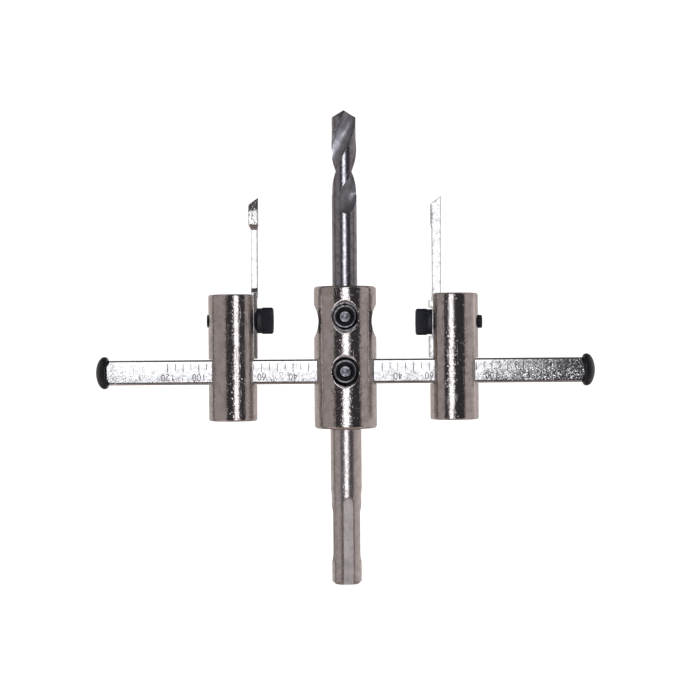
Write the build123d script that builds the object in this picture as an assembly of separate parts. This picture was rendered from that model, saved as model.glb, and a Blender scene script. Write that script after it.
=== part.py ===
from build123d import *
from math import acos, cos, degrees, pi, radians, sin, sqrt, tan
import os

# Adjustable circle cutter, in millimetres. While it is modelled, X runs along the scale bar, Y from the
# shank to the drill's point, Z towards the hub's screws, and the hub's and the bar's axes cross at zero.
# The finished pieces are then laid on Z = 0, with the origin under the middle of the whole tool.

# Fits
THREAD_GAP = 0.05        # radial, screw in its tapped hole
BEARING_GAP = 0.05       # screw point or head to what it presses on
BORE_GAP = 0.05          # radial, drill shank in the hub
BAR_FIXED_GAP = 0.05     # each side, bar in the hub
BAR_SLIDE_GAP = 0.15     # each side, bar in a holder
SEAT_GAP = 0.1           # each side, blade foot in its slot
END_GAP = 0.3            # a holder to an end cap, a blade foot to the bar
CUT = 2.0                # how far a cutting tool runs past the face that it opens
EDGE_BREAK = 0.15        # chamfer where a hole or a slot comes out through a round side
TOUCH = 0.001            # what counts as lying on a surface

# Scale bar
BAR_SIDE = 7.9
BAR_LENGTH = 152.0
BAR_EDGE_RADIUS = 0.9
BAR_END_CHAMFER = 0.9

# Scale, read at a holder's inner edge as the hole's diameter
SCALE_FIRST = 30.0
SCALE_LAST = 120.0
SCALE_STEP = 5.0
SCALE_OFFSET = 3.3       # from a holder's inner edge out to the cut circle
TICK_WIDTH = 0.25
TICK_DEPTH = 0.12
TICK_SHORT = 2.1
TICK_LONG = 2.8
TICK_START = 1.15        # below the bar's upper edge

# End caps
CAP_RADIUS = 5.2
CAP_RIM = 1.2
CAP_DOME = 2.7
CAP_INNER_RADIUS = 4.2
CAP_STEM_RADIUS = 1.9
CAP_STEM_LENGTH = 7.0
CAP_HOLE_EXTRA = 0.5

# Hub
HUB_RADIUS = 10.0
HUB_ABOVE = 27.2
HUB_BELOW = 18.25
HUB_EDGE_RADIUS = 1.0
POCKET_RADIUS = 5.2
POCKET_HEIGHT = 16.0     # above the bar's axis
POCKET_FLOOR = 5.9       # from the hub's axis
COUNTERSINK_RADIUS = 5.25
COUNTERSINK_SLOPE = 0.84  # radius gained for each millimetre of height
DRILL_SCREW_HEIGHT = 17.4
DRILL_SCREW_HOLE = 1.5   # its end above the drill's axis

# Shank
SHANK_RADIUS = 4.95      # of the plain part under the hub
SHANK_LENGTH = 49.8      # below the hub
GROOVED_RADIUS = 4.75
GROOVED_LENGTH = 28.5    # from the shank's end, with all the grooves
SHANK_TAPER = 2.0        # length of the cone from the grooved part to the plain part
SHANK_SEAT = 12.6        # length of the spigot that is pressed into the hub
SHANK_SEAT_RADIUS = 4.4
SHANK_NECK = 0.4         # of the spigot that shows under the hub
SHANK_CHAMFER = 1.0
SHANK_TURN = 9.6         # degrees about its axis
DRIVE_GROOVE_LENGTH = 27.5
DRIVE_FLOOR = 3.45       # from the shank's axis
DRIVE_FLOOR_WIDTH = 3.0
DRIVE_FLARE = 24.0       # degrees, slope of the groove's sides
LOCK_GROOVE_START = 6.7  # from the shank's end
LOCK_GROOVE_LENGTH = 18.6
LOCK_GROOVE_WIDTH = 5.2
LOCK_CUTTER_RADIUS = 4.0

# Pilot drill
DRILL_RADIUS = 4.0
DRILL_LENGTH = 79.0
DRILL_STOP = 0.75        # from the bar to the drill's lower end
POINT_ANGLE = 118.0
FLUTE_RADIUS = 3.5
WEB = 1.8
FLUTE_PITCH = 47.0
FLUTE_FRONT = 7.75       # below the point, where one flute faces the screws
FLUTE_END = 27.2         # below the point, where the flutes start to run out
RUNOUT_RADIUS = 6.5
LAND_RELIEF = 0.15
MARGIN_ANGLE = 13.0
FLAT_HEIGHT = 3.0        # of the clamping flat above the drill's axis
FLAT_TOP = 18.0          # above the drill's lower end

# Sockets
DRILLED_SHARE = 0.85     # drilled hole's width to the key's
DRILLED_CONE_SLOPE = 0.45  # depth of the hole's cone for its radius

# Set screws
SET_SCREW_RADIUS = 4.0
SET_SCREW_LENGTH = 6.0
SET_SCREW_CHAMFER = 0.9
SET_SCREW_POINT_RADIUS = 2.5
SET_SCREW_KEY = 4.0      # across flats
SET_SCREW_SOCKET = 3.0
DIMPLE_DEPTH = 0.4
DIMPLE_GAP = 0.1         # round the screw's point where it enters the bar's face
LOCK_SCREW_RADIUS = 3.0
LOCK_SCREW_LENGTH = 10.0
LOCK_SCREW_CHAMFER = 0.6
LOCK_SCREW_POINT_RADIUS = 2.0
LOCK_SCREW_KEY = 3.0
LOCK_SCREW_SOCKET = 3.5

# Holders, each described with its inner side towards the hub
LEFT_HOLDER_X = -36.05
RIGHT_HOLDER_X = 34.85
HOLDER_RADIUS = 7.75
HOLDER_ABOVE = 24.8
HOLDER_BELOW = 15.65
HOLDER_EDGE_RADIUS = 0.7
LEFT_CLAMP_HEIGHT = 16.4   # cap screw above the bar's axis
RIGHT_CLAMP_HEIGHT = 15.65

# Blades, with distances from the holder's axis towards the hub
SEAT_FLOOR = 4.0         # foot's outer face
LEFT_FACE = 7.9          # foot's inner face
LEFT_SHAFT_OUTER = 6.15
LEFT_SHAFT_INNER = 8.15
LEFT_TIP_OUTER = 5.4
LEFT_TIP_INNER = 8.4
LEFT_CHAMFER = 1.0       # along both sides of the foot's inner face
RIGHT_FACE = 7.05
RIGHT_SHAFT_OUTER = 4.15
RIGHT_SHAFT_INNER = 6.95
RIGHT_TIP_OUTER = 4.0
RIGHT_TIP_INNER = 7.25
RIGHT_HEEL = 1.0         # how far the foot stands past its face above and below the screw
FOOT_WIDTH = 7.0
FOOT_TOP = 24.2          # above the bar's axis, end of the foot's outer shoulder
SHAFT_FRONT = 1.6        # from the holder's axis plane to the shaft's face on the cutting side
TIP_FRONT = 2.6
BLADE_TIP = 31.0         # above the holder
TIP_HEIGHT = 10.3        # from the shoulder to the point
TIP_SLOPE = 37.0         # degrees, of the end edge
SHOULDER_RISE = 1.6
FRONT_SHOULDER = 1.4     # rise of the slope from the foot's face to the shaft's
RAKE_HEIGHT = 4.0        # of the facet in the cutting face, below the point
RAKE_DEPTH = 2.2
RAKE_SLOPE = 10.0        # degrees, of the facet's lower edge
RELIEF_HEIGHT = 1.1      # of the facet in the back, below the end edge
RELIEF_DEPTH = 0.3
SIDE_RELIEF_WIDTH = 0.95  # of the facet along the back's inner side
SIDE_RELIEF_DEPTH = 0.25
HEEL_EDGE = 0.35         # notch to cap screw head, along the blade

# Cap screws
CLAMP_RADIUS = 2.5
CLAMP_LENGTH = 16.1
CLAMP_POINT_RADIUS = 2.1
CLAMP_POINT_LENGTH = 1.0
CLAMP_POINT_CHAMFER = 0.2
HEAD_HEIGHT = 5.2
HEAD_BASE_RADIUS = 4.05
HEAD_BASE_HEIGHT = 1.3
KNURL_RADIUS = 4.25
KNURL_DEPTH = 0.18
KNURL_TEETH = 36
HEAD_TOP_CHAMFER = 0.4
HEAD_KEY = 4.0
HEAD_SOCKET = 2.6
CLAMP_HOLE_RADIUS = 2.65

HALF_BAR = BAR_SIDE / 2
DRILL_LOW_Y = HALF_BAR + DRILL_STOP
TIP_Y = DRILL_LOW_Y + DRILL_LENGTH
END_Y = -HUB_BELOW - SHANK_LENGTH
MIDDLE_Y = (TIP_Y + END_Y) / 2
LAY_DOWN = Pos(0, -MIDDLE_Y, HUB_RADIUS)


def rod_x(radius, low, high, y=0.0, z=0.0):
    """Cylinder along X from low to high."""
    return Pos((low + high) / 2, y, z) * Rot(0, 90, 0) * Cylinder(radius, high - low)


def rod_y(radius, low, high):
    """Cylinder along Y from low to high, on the Y axis."""
    return Pos(0, (low + high) / 2, 0) * Rot(-90, 0, 0) * Cylinder(radius, high - low)


def rod_z(radius, low, high, x=0.0, y=0.0):
    """Cylinder along Z from low to high."""
    return Pos(x, y, (low + high) / 2) * Cylinder(radius, high - low)


def block(low, high):
    """Box between two corners."""
    size = [b - a for a, b in zip(low, high)]
    centre = [(a + b) / 2 for a, b in zip(low, high)]
    return Pos(*centre) * Box(*size)


def flat_piece(outline, low, high):
    """Outline in X and Y as a solid from Z = low to Z = high."""
    face = make_face(Polyline(*outline, close=True))
    return Pos(0, 0, low) * extrude(face, high - low)


def side_piece(outline, low, high):
    """Outline given as Z and Y as a solid from X = low to X = high."""
    face = make_face(Polyline(*[(z, y) for z, y in outline], close=True))
    return Pos(high, 0, 0) * Rot(0, -90, 0) * extrude(face, high - low)


def socket(key, depth, top):
    """Hexagon socket that opens upwards at Z = top, with the drill's cone at its bottom."""
    floor = top - depth
    hexagon = extrude(RegularPolygon(key / 2, 6, major_radius=False), depth + CUT)
    drilled = key / 2 * DRILLED_SHARE
    cone_height = drilled * DRILLED_CONE_SLOPE
    cone = Pos(0, 0, floor - cone_height / 2) * Cone(0.0, drilled, cone_height)
    return Pos(0, 0, floor) * hexagon + cone


def set_screw(radius, length, chamfer_size, point_radius, key, socket_depth):
    """Set screw along Z with its point at zero and its socket on top."""
    point_height = radius - point_radius
    outline = [
        (0, 0),
        (point_radius, 0),
        (radius, point_height),
        (radius, length - chamfer_size),
        (radius - chamfer_size, length),
        (0, length),
    ]
    body = revolve(Rot(90, 0, 0) * make_face(Polyline(*outline, close=True)), Axis.Z)
    return body - socket(key, socket_depth, length)


def scale_ticks(side):
    """Cutters for one side's ticks, side = -1 or 1."""
    count = round((SCALE_LAST - SCALE_FIRST) / SCALE_STEP) + 1
    top = HALF_BAR - TICK_START
    cutters = []
    for index in range(count):
        diameter = SCALE_FIRST + index * SCALE_STEP
        x = side * (diameter / 2 - SCALE_OFFSET)
        length = TICK_LONG if index % 2 == 0 else TICK_SHORT
        low = (x - TICK_WIDTH / 2, top - length, HALF_BAR - TICK_DEPTH)
        high = (x + TICK_WIDTH / 2, top, HALF_BAR + CUT)
        cutters.append(block(low, high))
    return cutters


def scale_bar():
    """Square bar with rounded edges, turned ends, a plug hole in each end and a dimple for its screw."""
    section = RectangleRounded(BAR_SIDE, BAR_SIDE, BAR_EDGE_RADIUS)
    bar = Pos(-BAR_LENGTH / 2, 0, 0) * Rot(0, 90, 0) * extrude(section, BAR_LENGTH)
    corner = (HALF_BAR - BAR_EDGE_RADIUS) * sqrt(2) + BAR_EDGE_RADIUS
    core = rod_x(corner, -BAR_LENGTH / 2, BAR_LENGTH / 2)
    bar = bar & chamfer(core.edges().filter_by(GeomType.CIRCLE), BAR_END_CHAMFER)
    for side in (-1, 1):
        mouth = side * BAR_LENGTH / 2
        floor = side * (BAR_LENGTH / 2 - CAP_STEM_LENGTH - CAP_HOLE_EXTRA)
        past = mouth + side * CUT
        bar -= rod_x(CAP_STEM_RADIUS, min(floor, past), max(floor, past))
        bar -= scale_ticks(side)
    dimple = SET_SCREW_POINT_RADIUS + DIMPLE_DEPTH + DIMPLE_GAP
    return bar - rod_z(dimple, HALF_BAR - DIMPLE_DEPTH, HALF_BAR + CUT)


def end_cap(side):
    """Domed plug whose stem fills the bar's end hole."""
    face_x = BAR_LENGTH / 2
    stem_end = face_x - CAP_STEM_LENGTH
    widest_x = face_x + CAP_RIM
    rim_height = CAP_RADIUS - CAP_INNER_RADIUS
    rim = EllipticalCenterArc(
        (widest_x, CAP_INNER_RADIUS), CAP_RIM, rim_height, start_angle=90, arc_size=90
    )
    dome = EllipticalCenterArc((widest_x, 0), CAP_DOME, CAP_RADIUS, start_angle=0, arc_size=90)
    inner = Polyline(
        (widest_x + CAP_DOME, 0),
        (stem_end, 0),
        (stem_end, CAP_STEM_RADIUS),
        (face_x, CAP_STEM_RADIUS),
        (face_x, CAP_INNER_RADIUS),
    )
    plug = revolve(make_face([rim, dome, inner]), Axis.X)
    return plug if side > 0 else Rot(0, 180, 0) * plug


def screw_hole(height, depth):
    """Tapped hole along Z down to Z = depth, with the countersink that the screw sits in."""
    hole = rod_z(SET_SCREW_RADIUS + THREAD_GAP, depth, HUB_RADIUS + CUT, y=height)
    narrow = SET_SCREW_RADIUS + THREAD_GAP
    rise = (COUNTERSINK_RADIUS - narrow) / COUNTERSINK_SLOPE
    wide = COUNTERSINK_RADIUS + CUT * COUNTERSINK_SLOPE
    centre = HUB_RADIUS + CUT - (rise + CUT) / 2
    return hole + Pos(0, height, centre) * Cone(narrow, wide, rise + CUT)


def mouth_edges(body, radius, low, high):
    """Edges that holes and slots leave in the side of a body turned about Y, between two heights."""
    found = []
    for edge in body.edges():
        points = [edge.position_at(share / 4) for share in range(5)]
        in_side = all(abs(sqrt(p.X**2 + p.Z**2) - radius) < TOUCH for p in points)
        middle = points[2]
        is_seam = edge.geom_type == GeomType.LINE and abs(middle.Z) < TOUCH
        if in_side and not is_seam and low + TOUCH < middle.Y < high - TOUCH:
            found.append(edge)
    return found


def hub():
    """Turned hub: drill bore above, shank bore below, square bar hole across, screw holes and pockets."""
    body = rod_y(HUB_RADIUS, -HUB_BELOW, HUB_ABOVE)
    body = fillet(body.edges().filter_by(GeomType.CIRCLE), HUB_EDGE_RADIUS)
    slot = HALF_BAR + BAR_FIXED_GAP
    body -= block((-HUB_RADIUS - CUT, -slot, -slot), (HUB_RADIUS + CUT, slot, slot))
    body -= rod_y(DRILL_RADIUS + BORE_GAP, HALF_BAR, HUB_ABOVE + CUT)
    body -= rod_y(SHANK_SEAT_RADIUS, -HUB_BELOW - CUT, -HUB_BELOW + SHANK_SEAT)
    body -= screw_hole(DRILL_SCREW_HEIGHT, DRILL_SCREW_HOLE)
    body -= screw_hole(0, HALF_BAR - DIMPLE_DEPTH)
    for side in (-1, 1):
        floor = side * POCKET_FLOOR
        past = side * (HUB_RADIUS + CUT)
        body -= rod_x(POCKET_RADIUS, min(floor, past), max(floor, past), y=POCKET_HEIGHT)
    low, high = -HUB_BELOW + HUB_EDGE_RADIUS, HUB_ABOVE - HUB_EDGE_RADIUS
    return chamfer(mouth_edges(body, HUB_RADIUS, low, high), EDGE_BREAK)


def drive_groove():
    """Cutter for one open groove, on the shank's +Z side, rounded at its upper end."""
    half = DRIVE_FLOOR_WIDTH / 2
    top_y = END_Y + DRIVE_GROOVE_LENGTH - half
    low_y = END_Y - CUT
    face = Pos(0, (top_y + low_y) / 2, 0) * Rectangle(DRIVE_FLOOR_WIDTH, top_y - low_y)
    face += Pos(0, top_y, 0) * Circle(half)
    return Pos(0, 0, DRIVE_FLOOR) * extrude(face, CUT, taper=-DRIVE_FLARE)


def lock_groove():
    """Cutter for one closed ball groove, on the shank's +X side."""
    half = LOCK_GROOVE_WIDTH / 2
    centre = sqrt(GROOVED_RADIUS**2 - half**2) + sqrt(LOCK_CUTTER_RADIUS**2 - half**2)
    chord = sqrt(LOCK_CUTTER_RADIUS**2 - (centre - GROOVED_RADIUS) ** 2)
    low = END_Y + LOCK_GROOVE_START + chord
    high = END_Y + LOCK_GROOVE_START + LOCK_GROOVE_LENGTH - chord
    capsule = rod_y(LOCK_CUTTER_RADIUS, low, high)
    for y in (low, high):
        capsule += Pos(0, y, 0) * Sphere(LOCK_CUTTER_RADIUS)
    return Pos(centre, 0, 0) * capsule


def shank():
    """Slotted shank: two open drive grooves and two closed ball grooves, turned a little in the hub."""
    grooved_y = END_Y + GROOVED_LENGTH
    outline = [
        (0, END_Y),
        (GROOVED_RADIUS - SHANK_CHAMFER, END_Y),
        (GROOVED_RADIUS, END_Y + SHANK_CHAMFER),
        (GROOVED_RADIUS, grooved_y),
        (SHANK_RADIUS, grooved_y + SHANK_TAPER),
        (SHANK_RADIUS, -HUB_BELOW - SHANK_NECK),
        (SHANK_SEAT_RADIUS, -HUB_BELOW - SHANK_NECK),
        (SHANK_SEAT_RADIUS, -HUB_BELOW + SHANK_SEAT),
        (0, -HUB_BELOW + SHANK_SEAT),
    ]
    body = revolve(make_face(Polyline(*outline, close=True)), Axis.Y)
    for turn in (0, 180):
        body -= Rot(0, turn, 0) * drive_groove()
        body -= Rot(0, turn, 0) * lock_groove()
    return Rot(0, SHANK_TURN, 0) * body


def sector(radius, start, end):
    """Slice of a disc between two angles, wide enough to cut a margin out of a circle."""
    reach = radius * 1.5
    corners = [(reach * cos(radians(a)), reach * sin(radians(a))) for a in (start, end)]
    return make_face(Polyline((0, 0), *corners, close=True))


def flute_angles():
    """The direction of the cutter's centre from the axis, and the rim's half angle."""
    centre = WEB / 2 + FLUTE_RADIUS
    rim_cos = (centre**2 + DRILL_RADIUS**2 - FLUTE_RADIUS**2) / (2 * centre * DRILL_RADIUS)
    return centre, degrees(acos(rim_cos))


def drill_section(angle):
    """The fluted part's section, one flute centred on the given angle."""
    centre, rim = flute_angles()
    disc = Circle(DRILL_RADIUS)
    section = Circle(DRILL_RADIUS - LAND_RELIEF)
    for turn in (angle, angle + 180):
        lead = turn - rim
        section += disc & sector(DRILL_RADIUS, lead - MARGIN_ANGLE, lead)
    for turn in (angle, angle + 180):
        section -= Rot(0, 0, turn) * Pos(centre, 0) * Circle(FLUTE_RADIUS)
    return section


def runout(angle, height):
    """Ring that lifts a flute out of the drill, as the round edge of a grinding wheel does."""
    centre, _ = flute_angles()
    lead = 2 * pi * centre / FLUTE_PITCH
    radial = Vector(cos(radians(angle)), sin(radians(angle)), 0)
    around = Vector(-radial.Y, radial.X, 0)
    along = (around * lead + Vector(0, 0, 1)).normalized()
    origin = radial * (centre + RUNOUT_RADIUS) + Vector(0, 0, height)
    wheel = Plane(origin=origin, x_dir=radial, z_dir=radial.cross(along))
    return wheel * Torus(RUNOUT_RADIUS, FLUTE_RADIUS)


def pilot_drill():
    """Twist drill with two right-hand flutes, a coned point and a flat on its shank for the set screw."""
    point_height = DRILL_RADIUS / tan(radians(POINT_ANGLE / 2))
    start = DRILL_LENGTH - FLUTE_END
    turn = 360 / FLUTE_PITCH
    front = -90.0
    angle = front - turn * (FLUTE_END - FLUTE_FRONT)
    face = Pos(0, 0, start) * drill_section(angle)
    twisted = Solid.extrude_linear_with_rotation(
        face.faces()[0], (0, 0, start), (0, 0, FLUTE_END), turn * FLUTE_END
    )
    straight = DRILL_LENGTH - point_height
    blank = Pos(0, 0, straight / 2) * Cylinder(DRILL_RADIUS, straight)
    blank += Pos(0, 0, straight + point_height / 2) * Cone(DRILL_RADIUS, 0, point_height)
    body = Part() + twisted & blank
    body += Pos(0, 0, start / 2) * Cylinder(DRILL_RADIUS, start)
    for opposite in (0, 180):
        body -= runout(angle + opposite, start)
    body -= block(
        (-DRILL_RADIUS, -DRILL_RADIUS - CUT, -CUT), (DRILL_RADIUS, -FLAT_HEIGHT, FLAT_TOP)
    )
    return Pos(0, DRILL_LOW_Y, 0) * Rot(-90, 0, 0) * body


def holder(clamp_height):
    """Round holder about X = 0: bar hole, blade slot open to +X, cap screw hole and lock screw hole."""
    body = rod_y(HOLDER_RADIUS, -HOLDER_BELOW, HOLDER_ABOVE)
    body = fillet(body.edges().filter_by(GeomType.CIRCLE), HOLDER_EDGE_RADIUS)
    hole = HALF_BAR + BAR_SLIDE_GAP
    past = HOLDER_RADIUS + CUT
    body -= block((-past, -hole, -hole), (past, hole, hole))
    slot = FOOT_WIDTH / 2 + SEAT_GAP
    body -= block((SEAT_FLOOR, 0, -slot), (past, HOLDER_ABOVE + CUT, slot))
    body -= rod_x(CLAMP_RADIUS + THREAD_GAP, -past, past, y=clamp_height)
    body -= rod_y(LOCK_SCREW_RADIUS + THREAD_GAP, -HOLDER_BELOW - CUT, 0)
    low, high = -HOLDER_BELOW + HOLDER_EDGE_RADIUS, HOLDER_ABOVE - HOLDER_EDGE_RADIUS
    return chamfer(mouth_edges(body, HOLDER_RADIUS, low, high), EDGE_BREAK)


def blade(face, shaft, tip, point_inside, heel, bevel, clamp_height):
    """Blade about its holder's axis, cutting face towards +Z and a flat back.

    face is the foot's inner face, shaft and tip are the outer and inner edges above the holder,
    point_inside says on which edge the point stands, heel is how far the foot stands past its face, and
    bevel is the chamfer along that face.
    """
    point_y = HOLDER_ABOVE + BLADE_TIP
    low_y = HALF_BAR + END_GAP
    shoulder_y = point_y - TIP_HEIGHT
    drop = (tip[1] - tip[0]) * tan(radians(TIP_SLOPE))
    outer_y, inner_y = (point_y - drop, point_y) if point_inside else (point_y, point_y - drop)
    outline = [
        (SEAT_FLOOR, low_y),
        (face, low_y),
        (face, FOOT_TOP - SHOULDER_RISE / 2),
        (shaft[1], FOOT_TOP),
        (shaft[1], shoulder_y),
        (tip[1], shoulder_y + SHOULDER_RISE),
        (tip[1], inner_y),
        (tip[0], outer_y),
        (tip[0], shoulder_y + SHOULDER_RISE),
        (shaft[0], shoulder_y),
        (shaft[0], FOOT_TOP),
        (SEAT_FLOOR, FOOT_TOP - SHOULDER_RISE / 2),
    ]
    foot = FOOT_WIDTH / 2
    foot_y = HOLDER_ABOVE + END_GAP * 2
    profile = [
        (-foot, low_y),
        (foot, low_y),
        (foot, foot_y),
        (SHAFT_FRONT, foot_y + FRONT_SHOULDER),
        (SHAFT_FRONT, shoulder_y),
        (TIP_FRONT, shoulder_y + SHOULDER_RISE),
        (TIP_FRONT, point_y + CUT),
        (-foot, point_y + CUT),
    ]
    low_x, high_x = min(SEAT_FLOOR, tip[0]), max(face, tip[1])
    body = flat_piece(outline, -foot, foot) & side_piece(profile, low_x - CUT, high_x + CUT)
    slope = 1 if point_inside else -1
    point = Vector(tip[1] if point_inside else tip[0], point_y, 0)
    body -= facet_plane(point, slope * RAKE_SLOPE) * wedge(TIP_FRONT, RAKE_HEIGHT, RAKE_DEPTH)
    body -= facet_plane(point, slope * TIP_SLOPE) * wedge(-foot, RELIEF_HEIGHT, RELIEF_DEPTH)
    body -= side_relief(tip[1], -foot, shoulder_y + SHOULDER_RISE, point_y + CUT)
    if bevel > 0:
        for side in (-1, 1):
            corner = Pos(face, (low_y + FOOT_TOP) / 2, side * foot) * Rot(0, 45, 0)
            body -= corner * Box(bevel * sqrt(2), FOOT_TOP - low_y + CUT, bevel * sqrt(2))
    if heel > 0:
        body += block((face, low_y, -foot), (face + heel, FOOT_TOP - SHOULDER_RISE, foot))
        low, high = (clamp_height + way * (KNURL_RADIUS + HEEL_EDGE) for way in (-1, 1))
        body -= block((face, low, -foot), (face + heel, high, foot))
    return body - rod_x(CLAMP_HOLE_RADIUS, SEAT_FLOOR - CUT, face + CUT, y=clamp_height)


def facet_plane(point, slope):
    """Plane for a wedge whose edge passes through the blade's point at an angle to X."""
    edge = Vector(cos(radians(slope)), sin(radians(slope)), 0)
    return Plane(origin=point, x_dir=Vector(-edge.Y, edge.X, 0), z_dir=edge)


def side_relief(inner, back, low, high):
    """Cutter for the long facet between a blade's back and its inner side."""
    past = SIDE_RELIEF_DEPTH * (SIDE_RELIEF_WIDTH + CUT) / SIDE_RELIEF_WIDTH
    corners = [
        (inner - SIDE_RELIEF_WIDTH, back),
        (inner + CUT, back + past),
        (inner + CUT, back - CUT),
        (inner - SIDE_RELIEF_WIDTH, back - CUT),
    ]
    face = make_face(Polyline(*[(x, -z) for x, z in corners], close=True))
    return Pos(0, low, 0) * Rot(-90, 0, 0) * extrude(face, high - low)


def wedge(level, height, depth):
    """Cutter for a facet that starts height below the blade's end edge and goes depth into its face."""
    towards = 1 if level > 0 else -1
    outline = [
        (-height, towards * level),
        (0, towards * level - depth),
        (CUT, towards * level - depth - CUT * depth / height),
        (CUT, towards * level + CUT),
        (-height - CUT * height / depth, towards * level + CUT),
    ]
    face = make_face(Polyline(*[(n, towards * z) for n, z in outline], close=True))
    return Pos(0, 0, -4 * CUT) * extrude(face, 8 * CUT)


def clamp_screw(seat, height):
    """Cap screw along X with a dog point and its head towards +X, bearing at X = seat."""
    point = seat - CLAMP_LENGTH
    thread = point + CLAMP_POINT_LENGTH
    outline = [
        (0, point),
        (CLAMP_POINT_RADIUS - CLAMP_POINT_CHAMFER, point),
        (CLAMP_POINT_RADIUS, point + CLAMP_POINT_CHAMFER),
        (CLAMP_POINT_RADIUS, thread),
        (CLAMP_RADIUS, thread + CLAMP_RADIUS - CLAMP_POINT_RADIUS),
        (CLAMP_RADIUS, seat),
        (HEAD_BASE_RADIUS, seat),
        (HEAD_BASE_RADIUS, seat + HEAD_BASE_HEIGHT),
        (0, seat + HEAD_BASE_HEIGHT),
    ]
    body = revolve(Rot(90, 0, 0) * make_face(Polyline(*outline, close=True)), Axis.Z)
    body += Pos(0, 0, seat + HEAD_BASE_HEIGHT) * knurled_head(HEAD_HEIGHT - HEAD_BASE_HEIGHT)
    body -= socket(HEAD_KEY, HEAD_SOCKET, seat + HEAD_HEIGHT)
    return Pos(0, height, 0) * Rot(0, 90, 0) * body


def knurled_head(height):
    """Straight knurl as a toothed disc, chamfered at both ends."""
    step = 180 / KNURL_TEETH
    points = []
    for index in range(2 * KNURL_TEETH):
        radius = KNURL_RADIUS - (index % 2) * KNURL_DEPTH
        points.append((radius * cos(radians(index * step)), radius * sin(radians(index * step))))
    teeth = extrude(make_face(Polyline(*points, close=True)), height)
    blank = Pos(0, 0, height / 2) * Cylinder(KNURL_RADIUS, height)
    return teeth & chamfer(blank.edges().filter_by(GeomType.CIRCLE), HEAD_TOP_CHAMFER)


def hub_screw():
    """One of the hub's two set screws, its point at Z = 0."""
    return set_screw(
        SET_SCREW_RADIUS, SET_SCREW_LENGTH, SET_SCREW_CHAMFER, SET_SCREW_POINT_RADIUS,
        SET_SCREW_KEY, SET_SCREW_SOCKET,
    )


def lock_screw():
    """Set screw in a holder's lower end, its point just under the bar."""
    screw = set_screw(
        LOCK_SCREW_RADIUS, LOCK_SCREW_LENGTH, LOCK_SCREW_CHAMFER, LOCK_SCREW_POINT_RADIUS,
        LOCK_SCREW_KEY, LOCK_SCREW_SOCKET,
    )
    return Pos(0, -HALF_BAR - BEARING_GAP, 0) * Rot(90, 0, 0) * screw


def sides():
    """Name, holder position, turn about Y and blade of each side, the cutting faces opposed."""
    yield "left", LEFT_HOLDER_X, 0, dict(
        face=LEFT_FACE, shaft=(LEFT_SHAFT_OUTER, LEFT_SHAFT_INNER), tip=(LEFT_TIP_OUTER, LEFT_TIP_INNER),
        point_inside=True, heel=0.0, bevel=LEFT_CHAMFER, clamp_height=LEFT_CLAMP_HEIGHT,
    )
    yield "right", RIGHT_HOLDER_X, 180, dict(
        face=RIGHT_FACE, shaft=(RIGHT_SHAFT_OUTER, RIGHT_SHAFT_INNER),
        tip=(RIGHT_TIP_OUTER, RIGHT_TIP_INNER), point_inside=False, heel=RIGHT_HEEL, bevel=0.0,
        clamp_height=RIGHT_CLAMP_HEIGHT,
    )


def build():
    """Every piece by its node name, laid down at its place."""
    nodes = {
        "hub": hub(),
        "shank": shank(),
        "scale_bar": scale_bar(),
        "left_end_cap": end_cap(-1),
        "right_end_cap": end_cap(1),
        "pilot_drill": pilot_drill(),
        "drill_set_screw": Pos(0, DRILL_SCREW_HEIGHT, FLAT_HEIGHT + BEARING_GAP) * hub_screw(),
        "bar_set_screw": Pos(0, 0, HALF_BAR - DIMPLE_DEPTH + BEARING_GAP) * hub_screw(),
    }
    for name, x, turn, shape in sides():
        place = Pos(x, 0, 0) * Rot(0, turn, 0)
        height = shape["clamp_height"]
        nodes[name + "_holder"] = place * holder(height)
        nodes[name + "_blade"] = place * blade(**shape)
        nodes[name + "_clamp_screw"] = place * clamp_screw(shape["face"] + BEARING_GAP, height)
        nodes[name + "_lock_screw"] = place * lock_screw()
    return {name: LAY_DOWN * shape for name, shape in nodes.items()}


os.makedirs("parts", exist_ok=True)
for node, shape in build().items():
    export_step(shape, f"parts/{node}.step")
    box = shape.bounding_box()
    print(f"{node:20s} {len(shape.solids())} solid(s) {shape.volume:10.2f} mm3", box.min, box.max)
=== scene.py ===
"""Looks of an adjustable circle cutter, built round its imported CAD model.

The row frame is in metres: X runs along the scale bar, Y from the shank to the drill's point, and Z up
from the floor that the tool lies on. The CAD nodes carry the turned, milled and ground shapes. This
script adds the threaded screws, the filled scale, a finish for each surface, and the studio.
"""

import logging
import math
from dataclasses import dataclass
from enum import Enum
from typing import Any, Iterable

import bpy
import numpy as np
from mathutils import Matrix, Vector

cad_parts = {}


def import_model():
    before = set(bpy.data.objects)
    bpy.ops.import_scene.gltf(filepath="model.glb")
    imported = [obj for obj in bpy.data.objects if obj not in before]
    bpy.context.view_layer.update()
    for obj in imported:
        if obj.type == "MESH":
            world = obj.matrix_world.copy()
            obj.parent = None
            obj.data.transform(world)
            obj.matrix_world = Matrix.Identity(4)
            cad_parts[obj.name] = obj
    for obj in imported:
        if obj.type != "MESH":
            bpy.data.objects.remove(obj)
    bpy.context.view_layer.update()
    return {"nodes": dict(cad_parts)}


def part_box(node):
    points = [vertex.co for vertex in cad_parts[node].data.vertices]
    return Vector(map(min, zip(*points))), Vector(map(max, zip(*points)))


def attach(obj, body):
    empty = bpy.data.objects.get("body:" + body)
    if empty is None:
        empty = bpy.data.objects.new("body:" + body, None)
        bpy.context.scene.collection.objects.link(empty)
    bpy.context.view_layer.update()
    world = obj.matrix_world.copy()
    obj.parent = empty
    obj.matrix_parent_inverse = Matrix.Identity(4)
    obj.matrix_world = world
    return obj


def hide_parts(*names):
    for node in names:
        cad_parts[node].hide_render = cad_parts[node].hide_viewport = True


LOG = logging.getLogger("circle_cutter")
MM = 0.001
UM = 1e-6
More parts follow.
